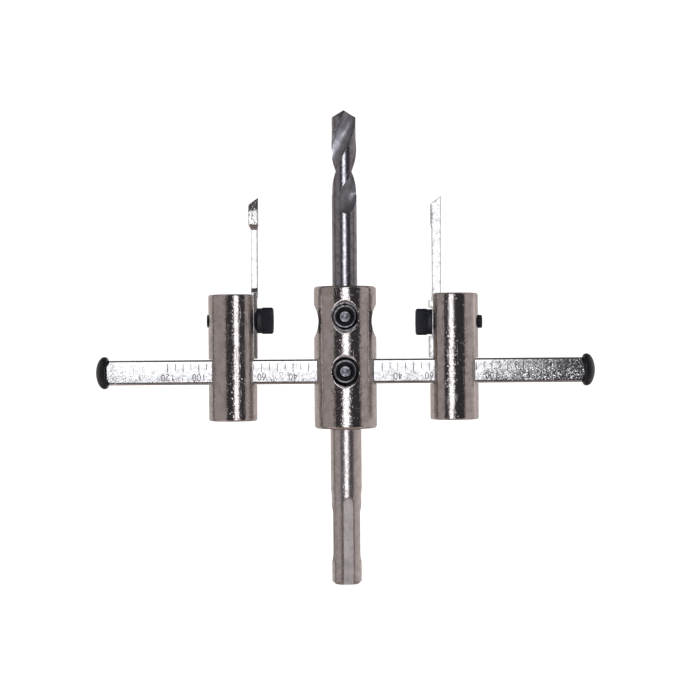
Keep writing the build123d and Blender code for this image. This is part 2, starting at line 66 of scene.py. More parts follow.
# Height of the tool's axis, the bar's centre line along it, and the left blade's shoulder.
AXIS_HEIGHT_MM = 10.0
BAR_Y_MM = -7.825
SHOULDER_Y_MM = 37.6
# Stray scratches: their width, how their noise is turned and drawn out, and the levels that cut.
SCRATCH_MM = 0.5
SCRATCH_TURN = (0.3, 0.5, 0.45)
SCRATCH_DRAW = (1.0, 0.055, 1.0)
SCRATCH_LEVELS = (0.70, 0.78)
# Length of a wild grain's way, which relief() below puts in words, out of the 0.87 that is possible.
WILD_WAY = 0.75
# Factors on a grain's lean: where no holder rubs the bar, at its upper edge, at the left blade's tip.
UNRUBBED_LEAN = 4.3
UPPER_LEAN = 0.4
TIP_LEAN = 8.0
# Stretches over which the bar's lean changes: two of X, past the right holder and at the left end, and
# one of Y, down the face.
UNRUBBED_MM = ((40.0, 50.0), (-68.0, -78.0))
DOWN_FACE_MM = (BAR_Y_MM + 1.5, BAR_Y_MM - 2.5)
# A metal's dull patches: the noise levels that they fade in between.
DULLED_LEVELS = (0.38, 0.68)
# A coating's rubbed patches: the noise levels that they fade in over, and their share of its roughness.
RUBBED_FADE = 0.12
RUBBED_ROUGHNESS = 0.8
# A thread's vee: its depth and half width in pitches, and the share of it above the flat root.
VEE_DEPTH = 0.61
VEE_HALF_WIDTH = 0.4375
VEE_ROOT = 0.8
# A socket's mouth: how far it clears the hexagon's corners.
MOUTH_EASE_MM = 0.05
# Its drilled bottom: width in keys, slope of the tip, the tip's rings as shares of that width, and the
# rounded tip's depth as a share of a sharp one's.
DRILLED_WIDTH = 0.8
DRILLED_SLOPE = 0.25
DRILLED_RINGS = (0.75, 0.5, 0.25, 0.1)
DRILLED_TIP = 0.93
# Where a screw is bared: how near the socket's floor, on how much of its top chamfer, and how far below
# the flat top.
BARED_FLOOR_MM = 0.5
BARED_RIM = 0.6
BARED_BELOW_MM = 0.02
# A bead of paint: where the rings of its round end stand, as shares of it, and the widths left to a pole.
BEAD_END = (0.0, 0.1, 0.3, 0.6, 1.0)
BEAD_POLE = 0.01
# Width of the widest digit in a box one high.
DIGIT_WIDTH = 0.62
LAMP_WHITE = "#fbfbff"
CARD_GREY = "#efe5e4"
SENSOR_MM = 36.0

Tree = bpy.types.NodeTree
Socket = bpy.types.NodeSocket
Piece = bpy.types.Object
Material = bpy.types.Material
Array = np.ndarray
Triple = tuple[float, float, float]
Skin = tuple[Array, Array]


class Axis(Enum):
    """Which way a screw's head end points in the row frame, as (across, around, along) unit vectors."""

    UP = ((1, 0, 0), (0, 1, 0), (0, 0, 1))
    RIGHT = ((0, 1, 0), (0, 0, 1), (1, 0, 0))
    LEFT = ((0, 0, 1), (0, 1, 0), (-1, 0, 0))
    TOWARDS_SHANK = ((0, 0, 1), (1, 0, 0), (0, -1, 0))


class Side(Enum):
    """The two halves of the bar, with the sign of X on each."""

    LEFT = -1
    RIGHT = 1


def box_mm(node: str) -> tuple[Array, Array]:
    """Middle and size of a CAD node's box in the row frame, in millimetres."""
    low, high = (np.array(corner, float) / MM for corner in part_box(node))
    return (low + high) / 2, high - low


def linear(colour: str) -> tuple[float, float, float, float]:
    """Turn an sRGB hex colour into linear values.

    Each channel c becomes c / 12.92 below 0.04045, and ((c + 0.055) / 1.055) to the power 2.4 above it.

    Args:
        colour: Six hex digits, with or without a leading hash.

    Returns:
        Linear red, green and blue, and 1 for alpha.
    """
    digits = colour.lstrip("#")
    channels = np.array([int(digits[i : i + 2], 16) / 255 for i in (0, 2, 4)])
    low, high = channels / 12.92, ((channels + 0.055) / 1.055) ** 2.4
    red, green, blue = np.where(channels <= 0.04045, low, high)
    return float(red), float(green), float(blue), 1.0


def cells(size_mm: float) -> float:
    """Noise scale for marks of this size in millimetres, on coordinates in metres."""
    return 1000.0 / size_mm


def add(tree: Tree, kind: str, inputs: dict[Any, Any] | None = None, **settings: Any) -> bpy.types.Node:
    """Add a node, set its properties, and fill or link its inputs.

    Args:
        tree: The node tree that gets the node.
        kind: The node's type name in Blender.
        inputs: Input name or number to a value, or to the socket that feeds it.
        **settings: Properties of the node itself.

    Returns:
        The new node.
    """
    node = tree.nodes.new(kind)
    for name, value in settings.items():
        setattr(node, name, value)
    for key, value in (inputs or {}).items():
        if isinstance(value, Socket):
            tree.links.new(value, node.inputs[key])
        else:
            node.inputs[key].default_value = value
    return node


@dataclass(frozen=True)
class Finish:
    """A surface whose colour and roughness change in patches.

    Args:
        name: The material's name in Blender.
        colour: Colour of the clean surface.
        worn: Colour of its duller or rubbed patches.
        worn_mm: Size of those patches.
    """

    name: str
    colour: str
    worn: str
    worn_mm: float

    def patched(
        self, fineness: float, low: float, high: float, roughness: tuple[float, float]
    ) -> tuple[Material, Tree, Any, Socket, Socket]:
        """Begin the material with its patches.

        Args:
            fineness: Strength of the noise's finer octaves.
            low: Noise level at which a patch begins.
            high: Noise level at which it is full.
            roughness: Roughness outside the patches and inside them.

        Returns:
            The material, its tree, its shader's inputs, its object coordinates, and the roughness.
        """
        material = bpy.data.materials.new(self.name)
        material.use_nodes = True
        tree = material.node_tree
        shader = tree.nodes["Principled BSDF"].inputs
        place = add(tree, "ShaderNodeTexCoord").outputs["Object"]
        noise = add(
            tree, "ShaderNodeTexNoise",
            {"Vector": place, "Scale": cells(self.worn_mm), "Detail": 3.0, "Roughness": fineness},
        ).outputs["Fac"]
        share = add(
            tree, "ShaderNodeMapRange", {"Value": noise, "From Min": low, "From Max": high},
            interpolation_type="SMOOTHSTEP",
        ).outputs["Result"]
        tint = add(
            tree, "ShaderNodeMix",
            {"Factor": share, "A": linear(self.colour), "B": linear(self.worn)}, data_type="RGBA",
        ).outputs["Result"]
        tree.links.new(tint, shader["Base Color"])
        rough = add(
            tree, "ShaderNodeMapRange", {"Value": share, "To Min": roughness[0], "To Max": roughness[1]}
        ).outputs["Result"]
        return material, tree, shader, place, rough


@dataclass(frozen=True)
class Metal(Finish):
    """A bare or plated metal surface with its own micro-relief.

    Args:
        roughness: Microscopic roughness of the clean metal.
        roughness_spread: How much rougher the duller patches are.
        grain_mm: Width of one grain of the surface.
        wild_lean: How far the wildest grains lean out of the surface, in degrees.
        wave_mm: Width of the slow waves left by grinding or casting.
        wave_um: Height of those waves in micrometres.
        stretch: How much longer a grain is along each axis of the row frame.
        scratch_um: Depth of the stray scratches in micrometres.
        edge_mm: Radius to which its sharp edges look stoned off.
    """

    roughness: float
    roughness_spread: float
    grain_mm: float
    wild_lean: float
    wave_mm: float
    wave_um: float
    stretch: Triple = (1.0, 1.0, 1.0)
    scratch_um: float = 0.0
    edge_mm: float = 0.0

    def make(self) -> Material:
        """Build the material: the patches, then edges, waves, scratches and grains as one relief.

        Returns:
            The finished material.
        """
        spread = (self.roughness, self.roughness + self.roughness_spread)
        material, tree, shader, place, rough = self.patched(0.55, *DULLED_LEVELS, spread)
        shader["Metallic"].default_value = 1.0
        tree.links.new(self.dulled(tree, place, rough), shader["Roughness"])
        tree.links.new(self.relief(tree, place), shader["Normal"])
        return material

    def relief(self, tree: Tree, place: Socket) -> Socket:
        """Stoned edges, waves and scratches, each one bump on top of the last, then the grains.

        A grain's random vector, less a half in each direction, is its way. Its lean is that way times the
        fourth power of the way's length, so that most grains lie nearly flat and a few lean far out. The
        lean is added to the bent normal.

        Args:
            tree: The material's tree.
            place: Object coordinates.

        Returns:
            The bent normal.
        """
        under: dict[str, Socket] = {}
        if self.edge_mm > 0:
            stoned = add(tree, "ShaderNodeBevel", {"Radius": self.edge_mm * MM}, samples=4)
            under["Normal"] = stoned.outputs["Normal"]
        waves = add(
            tree, "ShaderNodeTexNoise", {"Vector": place, "Scale": cells(self.wave_mm), "Detail": 1.0}
        ).outputs["Fac"]
        layers = [(waves, self.wave_um)]
        if self.scratch_um > 0:
            turned = add(
                tree, "ShaderNodeMapping",
                {"Vector": place, "Rotation": SCRATCH_TURN, "Scale": SCRATCH_DRAW},
            ).outputs["Vector"]
            lines = add(
                tree, "ShaderNodeTexNoise", {"Vector": turned, "Scale": cells(SCRATCH_MM), "Detail": 0.0}
            ).outputs["Fac"]
            low, high = SCRATCH_LEVELS
            cuts = add(
                tree, "ShaderNodeMapRange",
                {"Value": lines, "From Min": low, "From Max": high, "To Min": 0.0, "To Max": -1.0},
            ).outputs["Result"]
            layers.append((cuts, self.scratch_um))
        for height, depth_um in layers:
            inputs = {"Height": height, "Strength": 1.0, "Distance": depth_um * UM, **under}
            under["Normal"] = add(tree, "ShaderNodeBump", inputs).outputs["Normal"]
        drawn = add(
            tree, "ShaderNodeMapping",
            {"Vector": place, "Scale": tuple(1.0 / share for share in self.stretch)},
        ).outputs["Vector"]
        grains = add(
            tree, "ShaderNodeTexVoronoi", {"Vector": drawn, "Scale": cells(self.grain_mm)}
        ).outputs["Color"]
        way = add(
            tree, "ShaderNodeVectorMath", {0: grains, 1: (0.5, 0.5, 0.5)}, operation="SUBTRACT"
        ).outputs["Vector"]
        square = add(
            tree, "ShaderNodeVectorMath", {0: way, 1: way}, operation="DOT_PRODUCT"
        ).outputs["Value"]
        wild = add(tree, "ShaderNodeMath", {0: square, 1: 2.0}, operation="POWER").outputs["Value"]
        lean = add(
            tree, "ShaderNodeVectorMath", {0: way, "Scale": self.amount(tree, place, wild)},
            operation="SCALE",
        ).outputs["Vector"]
        far = add(
            tree, "ShaderNodeVectorMath",
            {0: lean, "Scale": math.sin(math.radians(self.wild_lean)) / WILD_WAY**5}, operation="SCALE",
        ).outputs["Vector"]
        leaning = add(
            tree, "ShaderNodeVectorMath", {0: under["Normal"], 1: far}, operation="ADD"
        ).outputs["Vector"]
        return add(tree, "ShaderNodeVectorMath", {0: leaning}, operation="NORMALIZE").outputs["Vector"]

    def amount(self, tree: Tree, place: Socket, wild: Socket) -> Socket:
        """The grains' lean as it is; a finish whose grain isn't even overrides this."""
        return wild

    def dulled(self, tree: Tree, place: Socket, rough: Socket) -> Socket:
        """Roughness as it is; a finish that is duller in some places overrides this."""
        return rough


@dataclass(frozen=True)
class BarMetal(Metal):
    """The bar's plating, rougher along its lower edge and where no holder has rubbed it."""

    def amount(self, tree: Tree, place: Socket, wild: Socket) -> Socket:
        """The grains' lean times a share for the way along the bar's face and one for the way down it.

        The first is 1 as far as the holders rub the bar smooth, and grows past them. The second grows from
        the upper edge to 1 at the lower one.

        Args:
            tree: The material's tree.
            place: Object coordinates.
            wild: The grains' even lean.

        Returns:
            The uneven lean.
        """
        parts = add(tree, "ShaderNodeSeparateXYZ", {"Vector": place}).outputs
        ramps = [("X", way, 1.0, UNRUBBED_LEAN) for way in UNRUBBED_MM]
        ramps.append(("Y", DOWN_FACE_MM, UPPER_LEAN, 1.0))
        for part, (start, end), low, high in ramps:
            share = add(
                tree, "ShaderNodeMapRange",
                {"Value": parts[part], "From Min": start * MM, "From Max": end * MM,
                 "To Min": low, "To Max": high},
                interpolation_type="SMOOTHSTEP",
            ).outputs["Result"]
            wild = add(tree, "ShaderNodeMath", {0: wild, 1: share}, operation="MULTIPLY").outputs["Value"]
        return wild


@dataclass(frozen=True)
class BladeMetal(Metal):
    """A blade's steel, left coarse by the wheel on the left blade's tip."""

    def amount(self, tree: Tree, place: Socket, wild: Socket) -> Socket:
        """The grains' lean, greater above the left blade's shoulder and the same elsewhere.

        Args:
            tree: The material's tree.
            place: Object coordinates.
            wild: The grains' even lean.

        Returns:
            The uneven lean.
        """
        parts = add(tree, "ShaderNodeSeparateXYZ", {"Vector": place}).outputs
        tip = add(
            tree, "ShaderNodeMath", {0: parts["Y"], 1: SHOULDER_Y_MM * MM}, operation="GREATER_THAN"
        ).outputs["Value"]
        left = add(tree, "ShaderNodeMath", {0: parts["X"], 1: 0.0}, operation="LESS_THAN").outputs["Value"]
        both = add(tree, "ShaderNodeMath", {0: tip, 1: left}, operation="MULTIPLY").outputs["Value"]
        share = add(
            tree, "ShaderNodeMapRange", {"Value": both, "To Min": 1.0, "To Max": TIP_LEAN}
        ).outputs["Result"]
        return add(tree, "ShaderNodeMath", {0: wild, 1: share}, operation="MULTIPLY").outputs["Value"]


@dataclass(frozen=True)
class CutMetal(Metal):
    """A round bar's metal on the tool's own axis, left dull by the wheel in its flutes or grooves.

    Args:
        skin_mm: Distance from the axis within which the surface is dull.
        dull: How much rougher it is there.
    """

    skin_mm: float = 3.8
    dull: float = 0.25

    def dulled(self, tree: Tree, place: Socket, rough: Socket) -> Socket:
        """Roughness plus a share that grows from 0 to dull just within the skin.

        The distance from the tool's axis is that of the place without its Y from the axis's height.

        Args:
            tree: The material's tree.
            place: Object coordinates.
            rough: The roughness of the skin.

        Returns:
            The roughness everywhere.
        """
        across = add(
            tree, "ShaderNodeVectorMath", {0: place, 1: (1.0, 0.0, 1.0)}, operation="MULTIPLY"
        ).outputs["Vector"]
        inward = add(
            tree, "ShaderNodeVectorMath", {0: across, 1: (0.0, 0.0, AXIS_HEIGHT_MM * MM)},
            operation="DISTANCE",
        ).outputs["Value"]
        cut = add(
            tree, "ShaderNodeMapRange",
            {"Value": inward, "From Min": self.skin_mm * MM, "From Max": (self.skin_mm - 0.2) * MM,
             "To Max": self.dull},
        ).outputs["Result"]
        return add(tree, "ShaderNodeMath", {0: rough, 1: cut}, operation="ADD").outputs["Value"]


@dataclass(frozen=True)
class Coating(Finish):
    """A dark non-metallic skin, such as black oxide, plastic or paint.

    Args:
        worn_from: Noise level above which the skin is rubbed.
        roughness: Microscopic roughness.
        grain_mm: Size of the surface grain.
        grain_um: Height of the grain in micrometres.
        specular: Strength of its mirror reflection, 0.5 being an ordinary coat.
    """

    worn_from: float
    roughness: float
    grain_mm: float
    grain_um: float
    specular: float = 0.5

    def make(self) -> Material:
        """Build the material: rubbed patches, smoother than the skin, and a fine grain.

        Returns:
            The finished material.
        """
        spread = (self.roughness, self.roughness * RUBBED_ROUGHNESS)
        material, tree, shader, place, rough = self.patched(
            0.6, self.worn_from, self.worn_from + RUBBED_FADE, spread
        )
        shader["Specular IOR Level"].default_value = self.specular
        tree.links.new(rough, shader["Roughness"])
        grain = add(
            tree, "ShaderNodeTexNoise", {"Vector": place, "Scale": cells(self.grain_mm), "Detail": 2.0}
        ).outputs["Fac"]
        bump = add(
            tree, "ShaderNodeBump", {"Height": grain, "Strength": 1.0, "Distance": self.grain_um * UM}
        ).outputs["Normal"]
        tree.links.new(bump, shader["Normal"])
        return material


# The real grain of plating, grinding, oxide and plastic is some hundredths of a millimetre wide and too
# fine to show, so each grain here is drawn coarser, 0.2 to 0.35 mm wide.

# Barrel-plated nickel over turned steel: bright, with the orange peel and the knocks of a tumbled part.
HUB_NICKEL = Metal(
    "nickel_plated_turned_steel", "#d2cbc8", "#c2bab6", 2.5, 0.13, 0.04, 0.24, 15.0, 4.0, 1.6,
    scratch_um=14.0,
)
# The same plating on the forged and milled shank, left matte by the coarser steel underneath.
SHANK_NICKEL = CutMetal(
    "nickel_plated_forged_steel", "#e1dad7", "#d0c9c6", 1.8, 0.26, 0.06, 0.24, 9.0, 5.0, 4.0,
    stretch=(1.0, 2.0, 1.0), scratch_um=10.0, skin_mm=4.6,
)
# Nickel over drawn square bar: pits of the drawn steel show through the plating.
BAR_NICKEL = BarMetal(
    "nickel_plated_drawn_bar", "#dbdbdc", "#c8c7c8", 1.5, 0.12, 0.05, 0.23, 5.6, 3.0, 2.0,
    scratch_um=10.0,
)
# Surface-ground tool steel: bright, with the short grinding lines of a hand-ground blade.
BLADE_STEEL = BladeMetal(
    "ground_tool_steel_blade", "#cccccc", "#b9b8b7", 1.2, 0.16, 0.08, 0.22, 8.0, 3.0, 2.0,
    stretch=(1.0, 1.4, 1.0), scratch_um=12.0, edge_mm=0.6,
)
# Cylindrically ground high-speed steel: darker, with fine lines round the drill.
DRILL_STEEL = CutMetal(
    "ground_high_speed_steel", "#a4a2a8", "#8e8d92", 2.0, 0.22, 0.05, 0.24, 8.0, 6.0, 2.0,
    stretch=(1.5, 0.8, 1.5), scratch_um=6.0, edge_mm=0.12,
)
# Steel bared where the key and the seat have rubbed the oxide off a screw.
BARED_STEEL = Metal(
    "bared_screw_steel", "#b0b3bb", "#7b7e86", 0.9, 0.34, 0.10, 0.27, 24.0, 3.0, 6.0,
)
# Black oxide on heat-treated set screws: a dry skin that thins to bluish steel on the corners.
BLACK_OXIDE = Coating(
    "black_oxide_screw_steel", "#14161c", "#252932", 1.1, 0.56, 0.42, 0.25, 6.0, specular=0.12
)
# The same oxide on the cap screws, oiled and polished by the fingers that turn their heads, which gives its
# stronger, sharper reflection. Its colour, lighter than the set screws' oxide, is partly painted highlight
# of the light on the knurled heads.
OILED_OXIDE_PAINTED_HIGHLIGHT = Coating(
    "oiled_black_oxide_painted_highlight", "#2a2d36", "#3a3e49", 1.1, 0.56, 0.36, 0.25, 6.0, specular=0.32
)
# Moulded black plastic plug: satin, with the faint grain of its mould.
PLUG_PLASTIC = Coating("moulded_black_plastic", "#12151c", "#1a1e27", 3.0, 0.60, 0.38, 0.35, 5.0)
# Paint wiped into the stamped marks, mostly worn out again.
SCALE_PAINT = Coating("worn_scale_paint", "#655d58", "#9a928b", 0.6, 0.50, 0.55, 0.20, 6.0)

CAD_FINISHES: dict[str, Metal | Coating] = {
    "hub": HUB_NICKEL,
    "left_holder": HUB_NICKEL,
    "right_holder": HUB_NICKEL,
    "shank": SHANK_NICKEL,
    "scale_bar": BAR_NICKEL,
    "left_blade": BLADE_STEEL,
    "right_blade": BLADE_STEEL,
    "pilot_drill": DRILL_STEEL,
    "left_end_cap": PLUG_PLASTIC,
    "right_end_cap": PLUG_PLASTIC,
}


class Wardrobe:
    """Makes each finish once and dresses objects in it."""

    def __init__(self) -> None:
        """Start with no material made."""
        self.made: dict[str, Material] = {}

    def material(self, finish: Metal | Coating) -> Material:
        """The finish's material, made the first time that it is asked for."""
        if finish.name not in self.made:
            self.made[finish.name] = finish.make()
        return self.made[finish.name]

    def dress(self, piece: Piece, finish: Metal | Coating) -> None:
        """Give every material slot of a piece one finish.

        Args:
            piece: A new piece or a CAD node.
            finish: What its surface is.
        """
        if not piece.data.materials:
            piece.data.materials.append(None)
        for index in range(len(piece.data.materials)):
            piece.data.materials[index] = self.material(finish)


def outward(points: Array, faces: Array) -> Array:
    """Turn the faces round if they enclose a negative volume.

    The volume is the sum over the triangles of the first corner times the cross product of the other
    two, over six.

    Args:
        points: Vertices, one per row.
        faces: Triangles, one per row.

    Returns:
        The faces, pointing outwards.
    """
    a, b, c = (points[faces[:, i]] for i in range(3))
    volume = np.einsum("ij,ij->i", a, np.cross(b, c)).sum() / 6
    return faces if volume > 0 else faces[:, ::-1]


def shell(rings: Array, start: Array, end: Array) -> Skin:
    """Close a stack of rings into one skin with a pole at each end.

    Each pair of neighbouring rings is joined by two triangles a column, the last column meets the first,
    and each pole is joined to its ring by a fan.

    Args:
        rings: Points, as (ring, column, 3).
        start: The pole before the first ring.
        end: The pole after the last ring.

    Returns:
        Vertices and outward triangles.
    """
    count, columns = rings.shape[:2]
    points = np.vstack([start[None], rings.reshape(-1, 3), end[None]])
    index = 1 + np.arange(count * columns).reshape(count, columns)
    after = np.roll(index, -1, axis=1)
    a, b, c, d = index[:-1], after[:-1], after[1:], index[1:]
    first, last = np.zeros(columns, int), np.full(columns, len(points) - 1)
    fans = (first, after[0], index[0]), (last, index[-1], after[-1])
    faces = [np.stack(corners, -1).reshape(-1, 3) for corners in ((a, b, c), (a, c, d), *fans)]
    return points, outward(points, np.concatenate(faces))


def join_skins(skins: Iterable[Skin]) -> Skin:
    """Put several closed skins into one list of vertices and triangles, shifting each one's indices.

    Args:
        skins: Vertices and triangles of each skin.

    Returns:
        Vertices and triangles of them all.
    """
    points, faces, offset = [], [], 0
    for skin_points, skin_faces in skins:
        points.append(skin_points)
        faces.append(skin_faces + offset)
        offset += len(skin_points)
    return np.vstack(points), np.vstack(faces)


def make_piece(name: str, points_mm: Array, faces: Array, body: str, crease: float) -> Piece:
    """Make a mesh object in the row frame that rides on a body.

    Args:
        name: The piece's name.
        points_mm: Vertices in millimetres.
        faces: Triangles.
        body: The CAD body that it moves with.
        crease: Angle in degrees above which an edge stays sharp.

    Returns:
        The new object.
    """
    mesh = bpy.data.meshes.new(name)
    mesh.vertices.add(len(points_mm))
    mesh.vertices.foreach_set("co", (points_mm * MM).astype(np.float32).ravel())
    mesh.loops.add(faces.size)
    mesh.loops.foreach_set("vertex_index", faces.astype(np.int32).ravel())
    mesh.polygons.add(len(faces))
    mesh.polygons.foreach_set("loop_start", np.arange(0, faces.size, 3, dtype=np.int32))
    mesh.update(calc_edges=True)
    mesh.validate()
    mesh.polygons.foreach_set("use_smooth", np.ones(len(mesh.polygons), bool))
    mesh.set_sharp_from_angle(angle=math.radians(crease))
    piece = bpy.data.objects.new(name, mesh)
    bpy.context.scene.collection.objects.link(piece)
    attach(piece, body)
    LOG.info("%s: %d triangles on %s", name, len(faces), body)
    return piece


@dataclass
class Screw:
    """A socket screw as one closed surface over an angle and a way along its outline, in millimetres.

    Args:
        node: The CAD node that it stands for and is named after.
        body: The body that it rides on.
        axis: Where its socket faces.
        radius: Thread's outer radius.
        pitch: Thread pitch.
        point_radius: Radius of the flat end.
        point_height: Height of the cone from the flat end to the thread.
        top_chamfer: Chamfer at the socket end of a headless screw.
        key: Socket size across flats.
        socket_depth: Depth of the hexagon.
        columns: Points round each ring.
        rows_per_pitch: Rings in one turn of the thread.
        head_height: Height of the head, 0 without one.
        finish: Its surface.
    """

    node: str
    body: str
    axis: Axis
    radius: float
    pitch: float
    point_radius: float
    point_height: float
    top_chamfer: float
    key: float
    socket_depth: float
    columns: int = 144
    rows_per_pitch: int = 16
    head_height: float = 0.0
    finish: Coating = BLACK_OXIDE

    def __post_init__(self) -> None:
        """Take the place of the point's end face and the thread's length from the CAD node's box."""
        across, around, along = (np.array(v, float) for v in self.axis.value)
        middle, size = box_mm(self.node)
        total = float(size @ np.abs(along))
        self.origin = middle - along * total / 2
        self.turn = np.stack([across, around, along])
        self.length = total - self.head_height

    def angles(self) -> Array:
        """Column angles, with a column on each corner of the hexagon."""
        return np.arange(self.columns) * 2 * math.pi / self.columns

    def ring(self, radius: Array | float, height: Array | float) -> Array:
        """One ring or a stack of them: radius times cosine and sine of the angle, at their heights."""
        turn = self.angles()
        x, y = radius * np.cos(turn), radius * np.sin(turn)
        return np.stack(np.broadcast_arrays(x, y, height), -1)

    def thread(self, low: float, high: float) -> Array:
        """Rings of the thread between two heights.

        The radius is the outer one less a 60 degree vee with a flat root. The vee's place is the fraction of
        height / pitch less angle / full turn, with an eighth of the pitch flat on the crest. At both ends
        the radius can't pass the cone or chamfer there.

        Args:
            low: Height of the first ring.
            high: Height of the last ring.

        Returns:
            The rings.
        """
        count = max(4, round((high - low) / self.pitch * self.rows_per_pitch))
        height = np.linspace(low, high, count)[:, None]
        turn = self.angles()[None]
        place = np.mod(height / self.pitch - turn / (2 * math.pi), 1.0)
        depth = VEE_DEPTH * self.pitch
        vee = np.clip(1.0 - np.abs(place - 0.5) / VEE_HALF_WIDTH, 0.0, VEE_ROOT) / VEE_ROOT
        radius = self.radius - depth * vee
        slope = (self.radius - self.point_radius) / self.point_height
        cone = self.point_radius + (height - low) * slope
        chamfer = self.radius - self.top_chamfer + (self.length - height)
        return self.ring(np.minimum(np.minimum(radius, cone), chamfer), height)

    def socket(self, top: float) -> Skin:
        """Rings of the socket from its mouth down, and the pole at its bottom.

        A hexagon's radius is half the key over the cosine of the angle from the nearest flat's middle. The
        mouth is a circle through the corners, and a 120 degree cone joins it to the hexagon. The drilled
        bottom is a shallow cone with a rounded tip.

        Args:
            top: Height of the mouth.

        Returns:
            The rings and the pole.
        """
        half = self.key / 2
        hexagon = half / np.cos(np.mod(self.angles(), math.pi / 3) - math.pi / 6)
        mouth = half / math.cos(math.pi / 6) + MOUTH_EASE_MM
        floor = top - self.socket_depth
        drilled = DRILLED_WIDTH * half
        rings = [
            self.ring(mouth, top),
            self.ring(hexagon, top - (mouth - hexagon) * math.tan(math.radians(30))),
            self.ring(hexagon, floor),
            self.ring(drilled, floor),
        ]
        for share in DRILLED_RINGS:
            rings.append(self.ring(drilled * share, floor - DRILLED_SLOPE * drilled * (1 - share)))
        return np.stack(rings), np.array([0.0, 0.0, floor - DRILLED_SLOPE * drilled * DRILLED_TIP])

    def bared(self, points: Array, faces: Array) -> Array:
        """Which faces have lost their oxide: the drilled bottom, and the chamfer next to the flat top.

        Args:
            points: Vertices about the screw's own axis.
            faces: Triangles.

        Returns:
            One truth value a face.
        """
        centre = points[faces].mean(axis=1)
        radius, height = np.hypot(centre[:, 0], centre[:, 1]), centre[:, 2]
        floor = self.top() - self.socket_depth
        bottom = (radius < DRILLED_WIDTH / 2 * self.key) & (np.abs(height - floor) < BARED_FLOOR_MM)
        below = self.length - height
        rim = (below > BARED_BELOW_MM) & (below < BARED_RIM * self.top_chamfer)
        rim &= (radius > self.radius - self.top_chamfer) & (self.head_height == 0)
        return bottom | rim

    def rings(self) -> Array:
        """The outside of a headless screw: its flat end, then the thread up to the mouth's rim."""
        thread = self.thread(0.0, self.length)
        return np.concatenate([self.ring(self.point_radius * 0.9, 0.0)[None], thread])

    def top(self) -> float:
        """Height of the socket's mouth."""
        return self.length

    def build(self, wardrobe: Wardrobe) -> None:
        """Make the screw, put it where its CAD node is and hide that node.

        Args:
            wardrobe: Where its finish comes from.
        """
        socket, bottom = self.socket(self.top())
        points, faces = shell(np.concatenate([self.rings(), socket]), np.zeros(3), bottom)
        placed = points @ self.turn + self.origin
        name = self.node + "_threaded"
        piece = make_piece(name, placed, outward(placed, faces), self.body, 32.0)
        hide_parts(self.node)
        wardrobe.dress(piece, self.finish)
        piece.data.materials.append(wardrobe.material(BARED_STEEL))
        bared = self.bared(points, faces).astype(np.int32)
        piece.data.polygons.foreach_set("material_index", bared)


@dataclass
class CapScrew(Screw):
    """A screw with a collar and a knurled head above its thread.

    Args:
        collar_radius: Radius of the plain collar under the knurl.
        collar_height: Its height.
        knurl_radius: Radius over the teeth.
        knurl_depth: Depth of the grooves between the teeth.
        dog_length: Length of the plain point under the thread.
        teeth: Number of teeth.
    """

    collar_radius: float = 4.05
    collar_height: float = 1.3
    knurl_radius: float = 4.25
    knurl_depth: float = 0.18
    head_height: float = 5.2
    dog_length: float = 1.0
    teeth: int = 36
    columns: int = 288
    rows_per_pitch: int = 12
    # The cap screws' oxide is drawn lighter than the set screws': partly painted highlight on the heads.
    finish: Coating = OILED_OXIDE_PAINTED_HIGHLIGHT

    def top(self) -> float:
        """Height of the socket's mouth, on top of the head."""
        return self.length + self.head_height

    def head(self) -> Array:
        """Rings of the head from the seat to its top face.

        The knurl's radius is the outer one less its depth times a sharpened cosine of teeth times the angle:
        the cosine runs from 0 on a tooth to 1 in a groove, and its square root makes the grooves broad
        and the teeth narrow. A cone at each end of the knurl and a rounded top edge take its radius in:
        each ring is listed with how far inside the collar's or the knurl's outer radius it lies.

        Returns:
            The rings.
        """
        seat, top = self.length, self.top()
        wave = (1 - np.cos(self.teeth * self.angles())) / 2
        knurl = self.knurl_radius - self.knurl_depth * np.sqrt(wave)
        low, high = seat + self.collar_height, top - 0.45
        collar = ((0.15, seat), (0.0, seat + 0.15), (0.0, low - 0.1), (0.05, low))
        grip = (
            (0.25, low + 0.05), (0.0, low + 0.3), (0.0, high), (0.14, high + 0.15), (0.32, high + 0.32)
        )
        rings = [self.ring(self.collar_radius - inset, height) for inset, height in collar]
        for inset, height in grip:
            rings.append(self.ring(np.minimum(knurl, self.knurl_radius - inset), height))
        return np.stack([*rings, self.ring(self.knurl_radius - 0.55, top)])

    def rings(self) -> Array:
        """The plain dog point with its chamfer, the thread, and the head.

        Returns:
            The rings, from the point up.
        """
        dog = [
            self.ring(self.point_radius - 0.2, 0.0),
            self.ring(self.point_radius, 0.2),
            self.ring(self.point_radius, self.dog_length),
        ]
        thread = self.thread(self.dog_length, self.length)
        return np.concatenate([np.stack(dog), thread, self.head()])


# Centre lines of the stamped numerals as strokes of (right, up) points in a box one high, or as
# (centre right, centre up, half width, half height, from degrees, to degrees) arcs.
LINES: dict[str, list[list[tuple[float, float]]]] = {
    "1": [[(0.12, 0.78), (0.3, 1.0), (0.3, 0.0)]],
    "2": [[(0.53, 0.58), (0.06, 0.0), (0.58, 0.0)]],
    "4": [[(0.44, 0.0), (0.44, 1.0), (0.04, 0.3), (0.6, 0.3)]],
    "6": [[(0.46, 1.0), (0.09, 0.45)]],
}
ARCS: dict[str, list[tuple[float, float, float, float, float, float]]] = {
    "0": [(0.31, 0.5, 0.25, 0.5, 0, 360)],
    "2": [(0.31, 0.73, 0.25, 0.27, -35, 165)],
    "6": [(0.31, 0.29, 0.25, 0.29, 0, 360)],
    "8": [(0.31, 0.76, 0.21, 0.24, 0, 360), (0.31, 0.27, 0.26, 0.27, 0, 360)],
}


